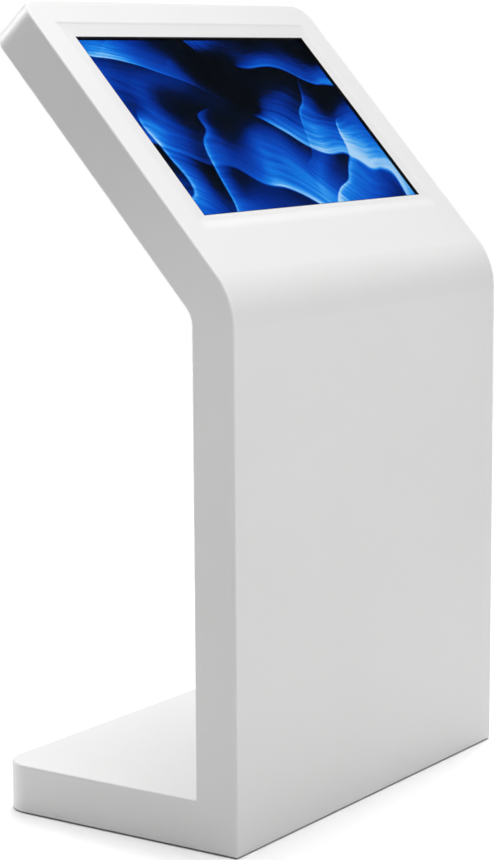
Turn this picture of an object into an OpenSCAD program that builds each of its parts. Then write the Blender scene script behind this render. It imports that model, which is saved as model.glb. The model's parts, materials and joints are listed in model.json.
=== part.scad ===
// Floor-standing touch kiosk: a bent board body with a leaning display head.
// Millimetres, +Z up, front faces -Y, origin at the middle of the footprint on the floor.

/* [Body] */
// Distance from the screen to each side, which sets the width of the body
side_margin = 86; // [66:1:120]
// Distance from the screen to the end of the head, which sets its length
top_margin = 84; // [72:1:150]
// Thickness of the bent board, the same in column, head and base
board_t = 84; // [78:1:100]
// Height above the underside where the column and head faces would meet
column_h = 929; // [860:1:1100]
// Lean of the head from upright, in degrees
head_tilt = 42; // [34:1:48]
// Depth of the base from the front face to its back end
base_d = 511; // [440:1:640]
// Inner radius of the bend between column and head
bend_r = 46; // [36:1:80]
// Radius of the two corners at the head end
head_corner_r = 42; // [30:1:70]
// Radius of the two corners at the base end
base_corner_r = 57; // [30:1:80]
// Radius of the rolled edges
edge_r = 4; // [3:0.5:8]
// Sheet steel thickness of the skins
sheet_t = 1.5; // [1:0.1:2]
// Width of the rolled side flanges that the skins butt against
rim_fl = 16; // [12:1:22]
// Working gap between sheet pieces that slip into one another
fit_gap = 0.2; // [0.1:0.05:0.4]

/* [Display] */
// Width of the visible screen
screen_w = 698; // [620:1:800]
// Height of the visible screen
screen_h = 393; // [350:1:450]
// Distance from the meeting point of the faces up to the screen
screen_s0 = 172; // [150:1:200]
// Visible width of the display bezel around the screen
bezel_border = 32; // [20:1:34]
// How far the bezel sits below the head face
bezel_step = 0.8; // [0.4:0.1:1]
// How much the bezel dishes in towards the screen
bezel_dish = 1.2; // [0.4:0.1:1.5]
// Seam between bezel and head face
bezel_gap = 0.3; // [0.2:0.1:1]
// Width of the eased edge of the opening that the bezel sits in
bezel_ease = 1.2; // [0.6:0.1:2]
// Thickness of the bezel frame behind the head face
bezel_t = 2; // [1.5:0.1:3]
// Gasket thickness between bezel and glass
gasket_t = 1.5; // [1:0.1:2]
// Width of the gasket lip that lines the bezel opening
lip_w = 1; // [0.6:0.1:1.5]
// Touch glass thickness
glass_t = 4; // [3:0.1:5]
// Air gap between the glass and the panel
panel_gap = 0.2; // [0.1:0.05:0.5]
// Liquid crystal panel thickness
lcd_t = 2; // [1.5:0.1:3]
// Backlight diffuser thickness
diffuser_t = 3; // [2:0.1:4]
// Depth of the display tray behind the diffuser
tray_d = 18; // [14:1:19]

/* [Frame] */
// Square tube of the side frames
frame_w = 40; // [30:1:42]
// Square tube of the crossbars
bar_w = 30; // [20:1:32]
// Wall of the frame tubes
tube_wall = 2; // [1.5:0.1:3]
// Thickness of the display rails
rail_t = 6; // [6:0.5:8]
// Distance of each display rail from the middle
rail_x = 205; // [202:1:240]

/* [Service door] */
// Distance of the door opening from each side
door_in = 155; // [130:1:170]
// Height of the door opening
door_h = 530; // [500:1:560]
// Height of the opening above the underside
door_z = 170; // [140:1:180]
// Gap around the door
door_gap = 2; // [1.5:0.1:3]
// Depth of the door flanges
door_fl = 8; // [6:0.5:9]
// Depth of the folded jamb around the opening
jamb_d = 10; // [9.5:0.5:10]
// Height of each hinge
hinge_h = 60; // [45:1:80]
// Hinge knuckle radius
knuckle_r = 4.5; // [4:0.1:6]
// Hinge pin radius
pin_r = 2.2; // [1.8:0.1:2.6]
// Radial running clearance of pins, plugs and buttons
run_gap = 0.06; // [0.03:0.01:0.1]
// Distance of the lock from the free edge of the opening
lock_in = 24; // [20:1:30]
// Lock barrel radius
lock_r = 9.5; // [8.5:0.1:10]
// Lock plug radius
plug_r = 6; // [5:0.1:6.5]

/* [Head cover] */
// Distance of the rear cover opening from each side
cover_side = 135; // [120:1:180]
// Height of the opening for the rear cover
cover_h = 330; // [280:1:350]
// Gap around the rear cover
cover_gap = 1; // [0.6:0.1:2]
// Overlap of the ledge that the cover lies on
ledge_w = 12; // [10:0.5:16]
// Cover screw shank radius
screw_r = 2; // [1.5:0.1:2.2]
// Side of the fan frame
fan_w = 80; // [70:1:92]
// Thickness of the fan
fan_t = 25; // [20:1:25]

/* [Base] */
// Thickness of the steel base plate
plate_t = 6; // [5:0.5:10]
// Gap that the feet leave under the body
foot_gap = 3; // [2:0.5:6]
// Levelling foot pad radius
pad_r = 20; // [15:0.5:24]
// Levelling foot stud radius
stud_r = 5; // [4:0.1:6]
// Distance of the feet from the sides
foot_in = 105; // [90:1:130]
// Distance of the rear feet from the back end
foot_back = 70; // [60:1:100]
// Distance of the two floor anchor holes from the sides
anchor_in = 185; // [160:1:280]
// Floor anchor hole radius
anchor_r = 6; // [5:0.1:7]
// Thickness of the mains inlet flange on the back end
inlet_lip = 2.5; // [2:0.1:3]

/* [Electronics] */
// Computer width
pc_w = 200; // [180:1:210]
// Computer height
pc_h = 180; // [150:1:190]
// Computer depth over its cooling fins
pc_t = 44; // [38:1:46]
// Power supply width
psu_w = 110; // [90:1:120]
// Power supply height
psu_h = 160; // [120:1:170]
// Power supply depth
psu_t = 40; // [34:1:44]
// Power button cap radius
button_r = 5.5; // [4.5:0.1:6]

/* [Hidden] */
$fn = 64;

paint = [0.93, 0.93, 0.92];
dark = [0.12, 0.12, 0.13];
steel = [0.62, 0.63, 0.65];

body_w = screen_w + 2 * side_margin;
head_l = screen_s0 + screen_h + top_margin;
door_w = body_w - 2 * door_in;
cover_w = body_w - 2 * cover_side;
anchor_gap = body_w - 2 * anchor_in;
half_w = body_w / 2;
skin_half = half_w - rim_fl;
bend_out = bend_r + board_t;
bend_tan = round(bend_out * tan(head_tilt / 2) * 100) / 100;
bend_z = column_h - bend_tan;
head_back = head_l * sin(head_tilt) + board_t * cos(head_tilt);
depth_all = max(base_d + inlet_lip, head_back);
front_y = -depth_all / 2;

screen_s = screen_s0 + screen_h / 2;
bezel_w = screen_w + 2 * bezel_border;
bezel_h = screen_h + 2 * bezel_border;
bezel_fl = 9;
bezel_back = sheet_t + bezel_t;
glass_d = bezel_back + gasket_t;
lcd_d = glass_d + glass_t + panel_gap;
diffuser_d = lcd_d + lcd_t;
tray_lip = diffuser_d + diffuser_t;
tray_back = tray_lip + tray_d;
lcd_edge = 6;
lcd_w = screen_w + 2 * lcd_edge;
lcd_h = screen_h + 2 * lcd_edge;
tray_wall = 3;
tray_w = lcd_w + 2 * fit_gap + 2 * tray_wall;
tray_h = lcd_h + 2 * fit_gap + 2 * tray_wall;
tray_floor = 1.2;
glass_over = 18;

frame_front = bend_out - (bend_out - sheet_t - 4) * cos(head_tilt / 2);
frame_back = frame_front + frame_w;
frame_x = half_w - sheet_t - frame_w;
frame_end_s = head_l - head_corner_r - 3;
frame_end_y = base_d - base_corner_r - 3;
bar_d = tray_back + rail_t;
bar_s = screen_h / 2 - 50;
bar_z = bend_z - 40;
rail_w = 30;
rail_screw_s = 60;

cover_s = screen_s;
cover_r = 6;
cover_in = board_t - sheet_t;
screw_head = screw_r + sheet_t;
fan_d = cover_in - fan_t;
fan_r = fan_w / 2 - 2;
fan_hole = fan_w / 2 - 4.25;
hub_r = 15;
wire_r = 1.2;
guard_lug = 1.6;

door_c = door_z + door_h / 2;
hinge_x = door_w / 2 - door_gap / 2;
hinge_off = knuckle_r + 0.3;
hinge_in = 80;
hinge_z = door_h / 2 - hinge_in;
leaf_w = 25;
leaf_t = 2;
leaf_x = knuckle_r + 0.7;
leaf_screw_r = 1.6;
lock_x = -(door_w / 2 - lock_in);
lock_flange = 2;
barrel_l = 10;
cam_d = barrel_l + 1;
cam_t = 2;
cam_l = lock_in + sheet_t + 11;

button_x = (door_w / 2 + frame_x) / 2;
button_drop = 35;
button_z = door_c + hinge_z - hinge_h / 2 - button_drop;
button_body = button_r + 2.5;
button_fl = 2.2;

standoff_l = 8.5;
eq_y = sheet_t + standoff_l;
eq_t = 2;
eq_face = eq_y + eq_t;
eq_in = 20;
eq_w = door_w - 2 * eq_in;
eq_h = door_h - 2 * eq_in;
pc_x = 60;
pc_rise = 135;
pc_z = door_z + pc_rise + pc_h / 2;
fin_t = 14;
pc_core = pc_t - fin_t;
psu_in = 110;
psu_x = psu_in - door_w / 2;
psu_rise = 55;
psu_z = door_z + psu_rise + psu_h / 2;
cable_x = pc_x + 40;
cable_d = tray_back + rail_t / 2;
cable_r = 2.5;
dc_r = 3;
dc_bend = 25;
dc_rise = 5;
dc_y = eq_face + psu_t * 0.45;
dc_z = psu_z + psu_h / 2 + dc_rise + dc_bend;
mains_r = 4;
mains_y = eq_face + psu_t / 2;
mains_bend = 30;

board_x = 80;
board_w = 190;
board_h = 120;
board_off = 4;
connector_s = board_h / 2 + 6;

inlet_x = psu_x;
inlet_z = board_t / 2;
inlet_w = 47;
inlet_h = 27;
inlet_l = 28;
inlet_ear = 10.5;
inlet_edge = 3;
inlet_screw = 5;
inlet_screw_r = 1.5;
socket_x = -10;
socket_d = 13;
switch_x = 15;
rocker_w = 12.4;
rocker_y = -3.5;
rocker_rest = 7;

foot_x = half_w - foot_in;
foot_y0 = 50;
foot_y1 = base_d - foot_back;
bracket_h = 34;
bracket_t = 6;
bracket_in = pad_r + 8;

// body frame: y = 0 on the front face, z = 0 on the underside
module in_body() {
    translate([0, front_y, foot_gap]) children();
}

// head frame: y is depth below the head face, z runs up the face
module head_place() {
    translate([0, bend_out, bend_z]) rotate([-head_tilt, 0, 0])
        translate([0, -bend_out, -bend_tan]) children();
}

module at_screen() {
    head_place() translate([0, 0, screen_s]) children();
}

module at_cover() {
    head_place() translate([0, 0, cover_s]) children();
}

module at_door() {
    translate([0, 0, door_c]) children();
}

module face_plate(d, th) {
    translate([0, d + th, 0]) rotate([90, 0, 0]) linear_extrude(th) children();
}

module rod_y(r, y0, y1) {
    translate([0, y0, 0]) rotate([-90, 0, 0]) cylinder(r = r, h = y1 - y0);
}

module cone_y(r0, r1, y0, y1) {
    translate([0, y0, 0]) rotate([-90, 0, 0]) cylinder(r1 = r0, r2 = r1, h = y1 - y0);
}

module round_rect(w, h, r) {
    a = w / 2;
    b = h / 2;
    polygon([[r - a, -b], [a - r, -b], [a, r - b], [a, b - r],
        [a - r, b], [r - a, b], [-a, b - r], [-a, r - b]]);
    for (x = [r - a, a - r], y = [r - b, b - r]) translate([x, y]) circle(r);
}

module slot_2d(l, w) {
    square([l - w, w], center = true);
    for (x = [-1, 1]) translate([x * (l - w) / 2, 0]) circle(w / 2);
}

// flat skin outline whose far end has two round corners
module tab_2d(a, v0, v1, r) {
    polygon([[-a, v0], [a, v0], [a, v1 - r], [a - r, v1], [r - a, v1], [-a, v1 - r]]);
    for (x = [r - a, a - r]) translate([x, v1 - r]) circle(r);
}

// channel section of the rolled sides: outer face at x = 0
module channel_2d(r, w, h) {
    polygon([[r, 0], [w, 0], [w, h], [r, h], [0, h - r], [0, r]]);
    for (y = [r, h - r]) translate([r, y]) circle(r);
}

module rim_section() {
    difference() {
        channel_2d(edge_r, rim_fl, board_t);
        translate([sheet_t, sheet_t]) channel_2d(edge_r - sheet_t, rim_fl, board_t - 2 * sheet_t);
    }
}

// angle section with one rolled edge
module angle_2d(r, w, h) {
    polygon([[r, 0], [w, 0], [w, h], [0, h], [0, r]]);
    translate([r, r]) circle(r);
}

module lip_section(len) {
    difference() {
        angle_2d(edge_r, rim_fl, len);
        translate([sheet_t, sheet_t]) angle_2d(edge_r - sheet_t, rim_fl, len);
    }
}

// sweeps a column section round the bend, with a hair of lap into the head
module bend_sweep(lap = 0.02) {
    translate([0, bend_out, bend_z]) rotate([90, 0, -90]) rotate_extrude(angle = head_tilt + lap)
        translate([bend_out, 0]) mirror([1, 0]) rotate(-90) children();
}

module skin_section(d) {
    translate([-skin_half, d]) square([2 * skin_half, sheet_t]);
}

module side_panel() {
    low = board_t - 2 * edge_r;
    start = board_t - 3 * edge_r;
    linear_extrude(low) translate([-half_w, 0]) lip_section(low);
    translate([0, 0, start]) linear_extrude(bend_z - start) translate([-half_w, 0]) rim_section();
    bend_sweep(0) translate([-half_w, 0]) rim_section();
    translate([0, start, board_t]) rotate([-90, 0, 0]) linear_extrude(base_d - base_corner_r - start)
        translate([-half_w, 0]) lip_section(board_t);
    translate([base_corner_r - half_w, base_d - base_corner_r, 0]) rotate(90)
        rotate_extrude(angle = 90) translate([base_corner_r, board_t]) rotate(180) lip_section(board_t);
}

module head_side() {
    translate([0, 0, bend_tan]) linear_extrude(head_l - head_corner_r - bend_tan)
        translate([-half_w, 0]) rim_section();
    translate([head_corner_r - half_w, 0, head_l - head_corner_r]) rotate([90, 0, 180])
        rotate_extrude(angle = 90) translate([head_corner_r, 0]) mirror([1, 0]) rim_section();
}

module front_shell() {
    color(paint) in_body() difference() {
        union() {
            linear_extrude(bend_z) skin_section(0);
            bend_sweep() skin_section(0);
            head_place() face_plate(0, sheet_t)
                tab_2d(skin_half, bend_tan, head_l - rim_fl, head_corner_r - rim_fl);
        }
        at_screen() face_plate(-1, sheet_t + 2) square([bezel_w, bezel_h], center = true);
        at_screen() bezel_easing();
    }
}

// profile that narrows from one width at one depth to another width further down
module funnel_profile(w0, d0, w1, d1) {
    polygon([[-w0 / 2, d0], [w0 / 2, d0], [w1 / 2, d1], [-w1 / 2, d1]]);
}

// block with four sloping sides: w by h at depth d, narrower by "in" on each side for each "deep" further down
module funnel(w, h, d, in, deep) {
    w0 = w + 2 * in;
    h0 = h + 2 * in;
    w1 = w - 4 * in;
    h1 = h - 4 * in;
    intersection() {
        linear_extrude(h0 + 10, center = true) funnel_profile(w0, d - deep, w1, d + 2 * deep);
        rotate([0, 90, 0]) linear_extrude(w0 + 10, center = true)
            funnel_profile(h0, d - deep, h1, d + 2 * deep);
    }
}

// shallow bevel round the opening, half as deep as it is wide
module bezel_easing() {
    funnel(bezel_w + 2 * bezel_ease, bezel_h + 2 * bezel_ease, 0, bezel_ease, bezel_ease / 2);
}

module left_side_panel() {
    color(paint) in_body() union() {
        side_panel();
    }
}

module right_side_panel() {
    color(paint) in_body() mirror([1, 0, 0]) union() {
        side_panel();
    }
}

module left_head_side() {
    color(paint) in_body() head_place() union() {
        head_side();
    }
}

module right_head_side() {
    color(paint) in_body() mirror([1, 0, 0]) head_place() union() {
        head_side();
    }
}

module head_end_cap() {
    color(paint) in_body() head_place() translate([head_corner_r - half_w, 0, head_l]) rotate([0, 90, 0])
        linear_extrude(2 * (half_w - head_corner_r)) rim_section();
}

module base_end_cap() {
    color(paint) in_body() difference() {
        translate([base_corner_r - half_w, base_d, board_t]) rotate([-90, 0, -90])
            linear_extrude(2 * (half_w - base_corner_r)) lip_section(board_t);
        translate([inlet_x, base_d, inlet_z]) face_plate(-sheet_t - 1, sheet_t + 2)
            square([inlet_w + 2 * fit_gap, inlet_h + 2 * fit_gap], center = true);
        at_inlet_screws() rod_y(inlet_screw_r + fit_gap, -sheet_t - 1, 1);
    }
}

module column_rear_panel() {
    low = board_t - sheet_t;
    color(paint) in_body() difference() {
        union() {
            face_plate(low, sheet_t) translate([-skin_half, low]) square([2 * skin_half, bend_z - low]);
            at_door() face_plate(board_t - jamb_d, jamb_d)
                square([door_w + 2 * sheet_t, door_h + 2 * sheet_t], center = true);
        }
        at_door() face_plate(board_t - jamb_d - 1, jamb_d + 2) square([door_w, door_h], center = true);
        at_button() rod_y(button_body + fit_gap, -sheet_t - 1, 1);
        at_leaf_screws(1) rod_y(leaf_screw_r + run_gap, -sheet_t - 1, 1);
    }
}

module head_rear_panel() {
    color(paint) in_body() difference() {
        union() {
            bend_sweep() skin_section(board_t - sheet_t);
            head_place() face_plate(cover_in, sheet_t)
                tab_2d(skin_half, bend_tan, head_l - rim_fl, head_corner_r - rim_fl);
        }
        at_cover() face_plate(cover_in - 1, sheet_t + 2) round_rect(cover_w, cover_h, cover_r);
    }
}

module base_top_panel() {
    color(paint) in_body() translate([0, 0, board_t - sheet_t]) linear_extrude(sheet_t)
        tab_2d(skin_half, board_t, base_d - rim_fl, base_corner_r - rim_fl);
}

module base_plate() {
    a = half_w - sheet_t - fit_gap;
    y0 = sheet_t + fit_gap;
    y1 = base_d - sheet_t - fit_gap;
    r = base_corner_r - sheet_t - fit_gap;
    c = edge_r;
    color(steel) in_body() linear_extrude(plate_t) difference() {
        union() {
            polygon([[c - a, y0], [a - c, y0], [a, y0 + c], [a, y1 - r],
                [a - r, y1], [r - a, y1], [-a, y1 - r], [-a, y0 + c]]);
            for (x = [r - a, a - r]) translate([x, y1 - r]) circle(r);
        }
        for (x = [-foot_x, foot_x], y = [foot_y0, foot_y1]) translate([x, y]) circle(pad_r + 2);
        for (x = [-anchor_gap / 2, anchor_gap / 2]) translate([x, foot_y0]) circle(anchor_r);
    }
}

// points of the side frame: d is depth below the faces, s runs up the head
function bend_pt(d) = [d, column_h - d * tan(head_tilt / 2)];
function head_pt(d, s) = [
    s * sin(head_tilt) + d * cos(head_tilt),
    column_h + s * cos(head_tilt) - d * sin(head_tilt)
];

module frame_2d(i) {
    f = frame_front + i;
    b = frame_back - i;
    z0 = plate_t + i;
    z1 = plate_t + frame_w - i;
    y1 = frame_end_y - i;
    s1 = frame_end_s - i;
    polygon([[f, z0], [y1, z0], [y1, z1], [b, z1], bend_pt(b), head_pt(b, s1), head_pt(f, s1), bend_pt(f)]);
}

module side_frame() {
    difference() {
        translate([frame_x, 0, 0]) rotate([90, 0, 90]) linear_extrude(frame_w) frame_2d(0);
        translate([frame_x + tube_wall, 0, 0]) rotate([90, 0, 90])
            linear_extrude(frame_w - 2 * tube_wall) frame_2d(tube_wall);
    }
}

module left_frame() {
    color(steel) in_body() mirror([1, 0, 0]) side_frame();
}

module right_frame() {
    color(steel) in_body() side_frame();
}

module crossbar() {
    difference() {
        translate([-frame_x, bar_d, -bar_w / 2]) cube([2 * frame_x, bar_w, bar_w]);
        translate([-frame_x - 1, bar_d + tube_wall, tube_wall - bar_w / 2])
            cube([2 * frame_x + 2, bar_w - 2 * tube_wall, bar_w - 2 * tube_wall]);
    }
}

module frame_crossbars() {
    color(steel) in_body() {
        translate([0, 0, bar_z]) crossbar();
        at_screen() translate([0, 0, -bar_s]) crossbar();
        at_screen() translate([0, 0, bar_s]) crossbar();
    }
}

module display_bezel() {
    w0 = bezel_w - 2 * bezel_gap;
    h0 = bezel_h - 2 * bezel_gap;
    w_top = w0 + bezel_gap;
    h_top = h0 + bezel_gap;
    color(paint) in_body() at_screen() difference() {
        union() {
            face_plate(bezel_step, bezel_back - bezel_step) square([w0, h0], center = true);
            face_plate(sheet_t, bezel_t)
                square([bezel_w + 2 * bezel_fl, bezel_h + 2 * bezel_fl], center = true);
        }
        face_plate(-1, bezel_back + 2) square([screen_w + 2 * lip_w, screen_h + 2 * lip_w], center = true);
        funnel(w_top, h_top, bezel_step, (w_top - screen_w) / 2, bezel_dish);
    }
}

module glass_gasket() {
    lip_d = bezel_step + bezel_dish;
    wide = 2 * glass_over - 4;
    color(dark) in_body() at_screen() difference() {
        union() {
            face_plate(bezel_back, gasket_t) square([screen_w + wide, screen_h + wide], center = true);
            face_plate(lip_d, glass_d - lip_d)
                square([screen_w + 2 * lip_w, screen_h + 2 * lip_w], center = true);
        }
        face_plate(lip_d - 1, glass_d - lip_d + 2) square([screen_w, screen_h], center = true);
    }
}

module touch_glass() {
    color([0.5, 0.6, 0.65, 0.4]) in_body() at_screen() face_plate(glass_d, glass_t)
        round_rect(screen_w + 2 * glass_over, screen_h + 2 * glass_over, 4);
}

module lcd_panel() {
    color([0.05, 0.1, 0.3]) in_body() at_screen() face_plate(lcd_d, lcd_t)
        square([lcd_w, lcd_h], center = true);
}

module backlight_diffuser() {
    color([0.9, 0.92, 0.95]) in_body() at_screen() face_plate(diffuser_d, diffuser_t)
        square([lcd_w, lcd_h], center = true);
}

module lcd_tray() {
    color(steel) in_body() at_screen() difference() {
        face_plate(lcd_d - panel_gap, tray_back - lcd_d + panel_gap) square([tray_w, tray_h], center = true);
        face_plate(lcd_d - 1, tray_lip - lcd_d + 1)
            square([lcd_w + 2 * fit_gap, lcd_h + 2 * fit_gap], center = true);
        face_plate(tray_lip - 1, tray_d - tray_floor + 1)
            square([lcd_w - 2 * lcd_edge, lcd_h - 2 * lcd_edge], center = true);
        at_rail_screws() rod_y(screw_r + run_gap, tray_back - tray_floor - 1, tray_back + 1);
    }
}

module at_rail_screws() {
    for (x = [-rail_x, rail_x], s = [-rail_screw_s, rail_screw_s]) translate([x, 0, s]) children();
}

module display_rails() {
    len = 2 * bar_s + bar_w;
    color(steel) in_body() at_screen() difference() {
        for (x = [-rail_x, rail_x]) translate([x - rail_w / 2, tray_back, -len / 2])
            cube([rail_w, rail_t, len]);
        at_rail_screws() rod_y(screw_r + run_gap, tray_back - 1, bar_d + 1);
    }
}

module display_screws() {
    color(steel) in_body() at_screen() at_rail_screws() difference() {
        union() {
            rod_y(screw_r, tray_back - 5, bar_d + 1);
            rod_y(2 * screw_r, bar_d, bar_d + 2.6);
        }
        translate([-3, bar_d + 1.6, -0.4]) cube([6, 2, 0.8]);
    }
}

module controller_board() {
    d0 = tray_back + board_off;
    top = d0 + 1.6;
    color([0.1, 0.35, 0.18]) in_body() at_screen() translate([board_x, 0, 0]) difference() {
        union() {
            face_plate(d0, 1.6) square([board_w, board_h], center = true);
            for (i = [0:5]) translate([-70 + i * 3, top - 0.1, 5]) cube([1.4, 7, 34]);
            translate([-72, top - 0.1, 5]) cube([19, 2, 34]);
            translate([-30, top - 0.1, 10]) cube([22, 1.6, 22]);
            translate([8, top - 0.1, 18]) cube([14, 1.4, 26]);
            translate([-60, top - 0.1, -45]) cube([34, 5, 9]);
            for (i = [0:3]) translate([40 + i * 11, 0, 38]) rod_y(4, top - 0.1, top + 6);
            translate([cable_x - board_x - 9, tray_back + 0.5, -connector_s]) cube([18, 9, 16]);
        }
        at_board_posts() rod_y(1.2, d0 - 1, top + 1);
    }
}

module at_board_posts() {
    for (x = [-1, 1], s = [-1, 1]) translate([x * (board_w / 2 - 5), 0, s * (board_h / 2 - 5)]) children();
}

module board_standoffs() {
    color([0.75, 0.62, 0.3]) in_body() at_screen() translate([board_x, 0, 0]) at_board_posts() union() {
        rod_y(3, tray_back, tray_back + board_off);
        rod_y(1.2 - run_gap, tray_back + 1, tray_back + board_off + 3);
        rod_y(2.4, tray_back + board_off + 1.6, tray_back + board_off + 3.4);
    }
}

module at_cover_screws() {
    a = cover_w / 2 - ledge_w / 2;
    b = cover_h / 2 - ledge_w / 2;
    for (x = [-a, 0, a], s = [-b, b]) translate([x, 0, s]) children();
    for (x = [-a, a]) translate([x, 0, 0]) children();
}

module cover_ledge() {
    color(steel) in_body() at_cover() difference() {
        face_plate(cover_in - sheet_t, sheet_t) difference() {
            round_rect(cover_w + 2 * ledge_w, cover_h + 2 * ledge_w, cover_r);
            round_rect(cover_w - 2 * ledge_w, cover_h - 2 * ledge_w, cover_r);
        }
        at_cover_screws() rod_y(screw_r + run_gap, cover_in - sheet_t - 1, cover_in + 1);
    }
}

module at_fan_screws() {
    for (x = [-fan_hole, fan_hole], s = [-fan_hole, fan_hole]) translate([x, 0, s]) children();
}

module vent_slots() {
    for (x = [-1, 1], i = [-6:6]) translate([x * (cover_w / 4 + 15), i * 16]) slot_2d(cover_w / 4, 5);
}

module head_rear_cover() {
    color(paint) in_body() at_cover() difference() {
        face_plate(cover_in, sheet_t) difference() {
            round_rect(cover_w - 2 * cover_gap, cover_h - 2 * cover_gap, cover_r - cover_gap);
            vent_slots();
            circle(fan_r - 1);
        }
        at_cover_screws() cone_y(screw_r + run_gap, screw_head + run_gap, cover_in, board_t);
        at_fan_screws() rod_y(screw_r + run_gap, cover_in - 1, board_t + 1);
    }
}

module cover_screws() {
    color(steel) in_body() at_cover() at_cover_screws() difference() {
        union() {
            rod_y(screw_r, cover_in - 6, cover_in + 0.1);
            cone_y(screw_r, screw_head, cover_in, board_t);
        }
        translate([-2.4, board_t - 0.8, -0.4]) cube([4.8, 2, 0.8]);
    }
}

module fan_frame() {
    color(dark) in_body() at_cover() difference() {
        union() {
            difference() {
                face_plate(fan_d, fan_t) round_rect(fan_w, fan_w, 4);
                rod_y(fan_r, fan_d - 1, cover_in + 1);
            }
            rod_y(hub_r + 1, fan_d, fan_d + 3);
            for (a = [0:90:270]) rotate([0, a + 20, 0]) translate([hub_r - 2, fan_d, -2])
                cube([fan_r - hub_r + 3, 3, 4]);
        }
        rod_y(1.5 + run_gap, fan_d + 1, fan_d + 4);
        at_fan_screws() rod_y(screw_r + run_gap, fan_d - 1, cover_in + 1);
    }
}

module fan_rotor() {
    blade_r = fan_r - 1.2;
    mid = (hub_r + blade_r) / 2;
    color([0.16, 0.16, 0.17]) in_body() at_cover() union() {
        rod_y(1.5, fan_d + 1.3, fan_d + 6);
        rod_y(hub_r, fan_d + 4, cover_in - 2);
        intersection() {
            difference() {
                rod_y(blade_r, fan_d + 4.5, cover_in - 2.5);
                rod_y(hub_r - 1, fan_d, cover_in);
            }
            for (a = [0:6]) rotate([0, a * 360 / 7, 0]) translate([mid, fan_d + 12.5, 0]) rotate([40, 0, 0])
                cube([blade_r, 1.8, 22], center = true);
        }
    }
}

module fan_guard() {
    lug = sqrt(2) * fan_hole;
    color(steel) in_body() at_cover() difference() {
        union() {
            for (r = [12, 20, 28, 36]) translate([0, board_t + 2.2 * wire_r, 0]) rotate([-90, 0, 0])
                rotate_extrude() translate([r * fan_w / 80, 0]) circle(wire_r, $fn = 24);
            for (a = [45, 135]) rotate([0, a, 0]) translate([-lug, board_t + wire_r + 0.1, 0])
                rotate([0, 90, 0]) cylinder(r = wire_r, h = 2 * lug);
            at_fan_screws() rod_y(5, board_t, board_t + guard_lug);
        }
        at_fan_screws() rod_y(screw_r + run_gap, board_t - 1, board_t + 6);
    }
}

module fan_screws() {
    head = board_t + 2 * wire_r + 0.2;
    color(steel) in_body() at_cover() at_fan_screws() difference() {
        union() {
            rod_y(screw_r, cover_in - 14, head + 0.1);
            rod_y(3.6, head, head + 2);
        }
        translate([-2.6, head + 1.2, -0.4]) cube([5.2, 2, 0.8]);
    }
}

module at_lock() {
    at_door() translate([lock_x, board_t, 0]) children();
}

module service_door() {
    w = door_w - 2 * door_gap;
    h = door_h - 2 * door_gap;
    color(paint) in_body() difference() {
        at_door() face_plate(board_t - door_fl, door_fl) square([w, h], center = true);
        at_door() face_plate(board_t - door_fl - 1, door_fl - sheet_t + 1)
            square([w - 2 * sheet_t, h - 2 * sheet_t], center = true);
        at_lock() rod_y(lock_r + run_gap, -sheet_t - 1, 1);
        at_leaf_screws(-1) rod_y(leaf_screw_r + run_gap, -sheet_t - 1, 1);
    }
}

module at_hinges() {
    for (z = [-hinge_z, hinge_z]) at_door() translate([hinge_x, board_t, z]) children();
}

module at_leaf_screws(side) {
    at_hinges() for (z = [-hinge_h * 0.3, hinge_h * 0.3])
        translate([side * (leaf_x + leaf_w * 0.55), 0, z]) children();
}

module knuckle(z0, z1) {
    translate([0, hinge_off, z0]) cylinder(r = knuckle_r, h = z1 - z0);
    translate([0, 0, z0]) cube([leaf_x + 0.5, leaf_t, z1 - z0]);
}

module hinge_bore() {
    translate([0, hinge_off, -hinge_h]) cylinder(r = pin_r + run_gap, h = 2 * hinge_h);
}

module hinge_frame_leaves() {
    third = hinge_h / 6 + 0.2;
    color(steel) in_body() difference() {
        at_hinges() difference() {
            union() {
                translate([leaf_x, 0, -hinge_h / 2]) cube([leaf_w, leaf_t, hinge_h]);
                knuckle(-hinge_h / 2, -third);
                knuckle(third, hinge_h / 2);
            }
            hinge_bore();
        }
        at_leaf_screws(1) rod_y(leaf_screw_r + run_gap, -1, leaf_t + 1);
    }
}

module hinge_door_leaves() {
    third = hinge_h / 6 - 0.2;
    color(steel) in_body() difference() {
        at_hinges() mirror([1, 0, 0]) difference() {
            union() {
                translate([leaf_x, 0, -hinge_h / 2]) cube([leaf_w, leaf_t, hinge_h]);
                knuckle(-third, third);
            }
            hinge_bore();
        }
        at_leaf_screws(-1) rod_y(leaf_screw_r + run_gap, -1, leaf_t + 1);
    }
}

module hinge_pins() {
    color(steel) in_body() at_hinges() translate([0, hinge_off, 0]) union() {
        translate([0, 0, -hinge_h / 2 - 1]) cylinder(r = pin_r, h = hinge_h + 2);
        for (z = [-hinge_h / 2 - 1.2, hinge_h / 2]) translate([0, 0, z]) cylinder(r = pin_r + 1, h = 1.2);
    }
}

module leaf_screw() {
    difference() {
        union() {
            rod_y(leaf_screw_r, -5, leaf_t + 0.1);
            rod_y(2 * leaf_screw_r, leaf_t, leaf_t + 1.6);
        }
        translate([-2.2, leaf_t + 0.9, -0.35]) cube([4.4, 2, 0.7]);
    }
}

module hinge_frame_screws() {
    color(steel) in_body() at_leaf_screws(1) leaf_screw();
}

module hinge_door_screws() {
    color(steel) in_body() at_leaf_screws(-1) leaf_screw();
}

module lock_barrel() {
    color(steel) in_body() at_lock() difference() {
        union() {
            rod_y(lock_r + 2.5, 0, lock_flange);
            rod_y(lock_r, -barrel_l, 1);
        }
        rod_y(plug_r + run_gap, -barrel_l - 1, lock_flange + 1);
    }
}

module lock_nut() {
    color(steel) in_body() at_lock() difference() {
        translate([0, -sheet_t - 4, 0]) rotate([-90, 0, 0]) cylinder(r = lock_r + 4.5, h = 4, $fn = 6);
        rod_y(lock_r + run_gap, -sheet_t - 5, 0);
    }
}

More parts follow.
